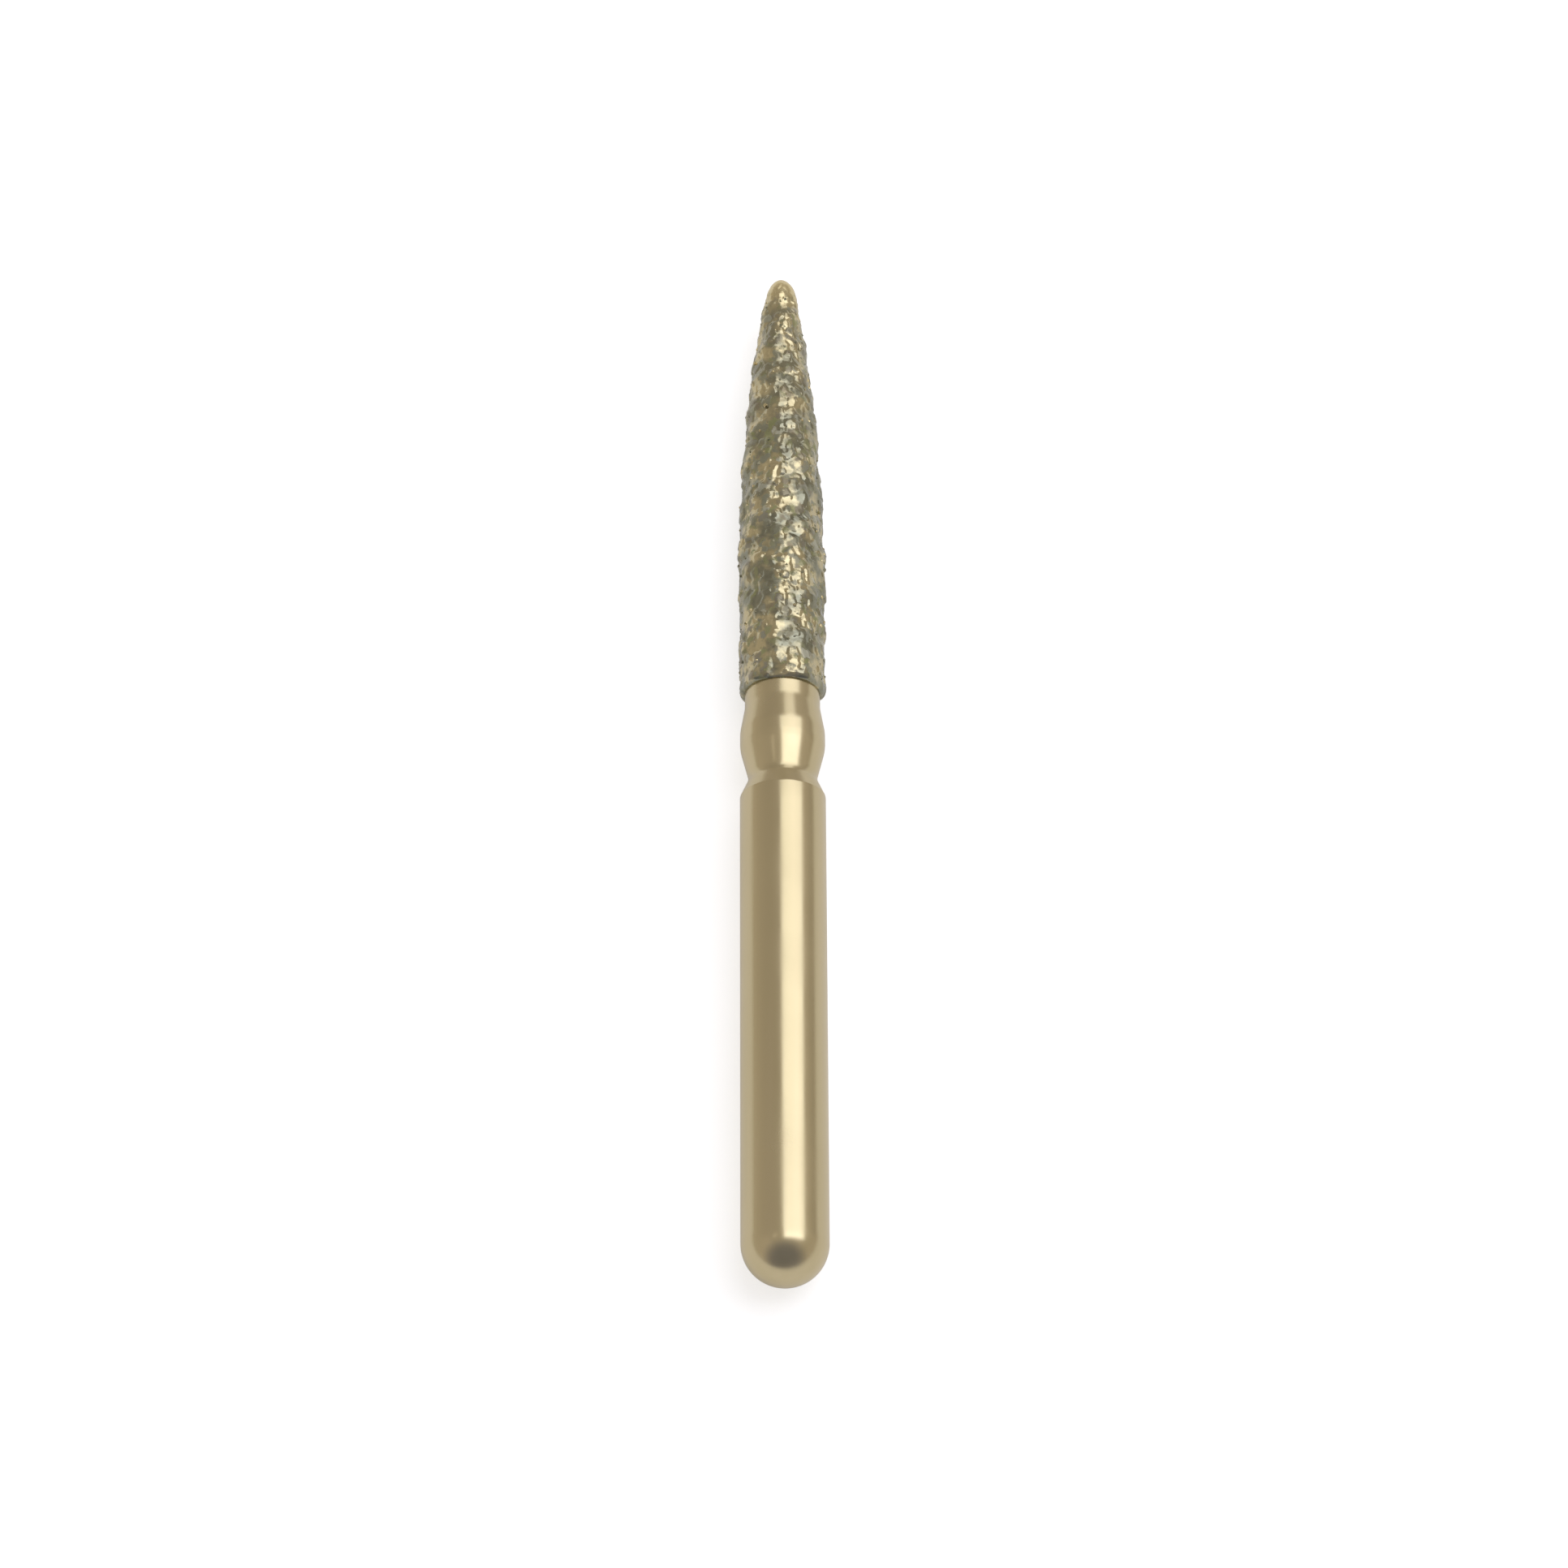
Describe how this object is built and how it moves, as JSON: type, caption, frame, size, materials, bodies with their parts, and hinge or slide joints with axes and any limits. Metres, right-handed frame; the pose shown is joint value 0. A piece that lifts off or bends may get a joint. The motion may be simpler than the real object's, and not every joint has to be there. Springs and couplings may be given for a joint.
{
  "type": "dental bur",
  "caption": "Friction-grip dental bur: gold-plated turned shank with a round end, groove and collar, and a long flame-shaped head coated in diamond grit.",
  "frame": {"origin": "on the axis at the centre of the shank's round end, where the grip's cylinder starts", "axes": "+Y along the bur's axis, from the shank's round end towards the tip of the head; the bur is round, so +Z is any direction across the axis"},
  "size_m": [0.0018, 0.0211, 0.0018],
  "materials": {
    "gold_plated_steel": "satin gold plating on turned stainless steel",
    "diamond_grit": "coarse diamond grains electroplated in nickel, with a thin gold flash"
  },
  "bodies": {
    "root": {"turned_blank": "gold_plated_steel", "diamond_coat": "diamond_grit"}
  },
  "joints": []
}
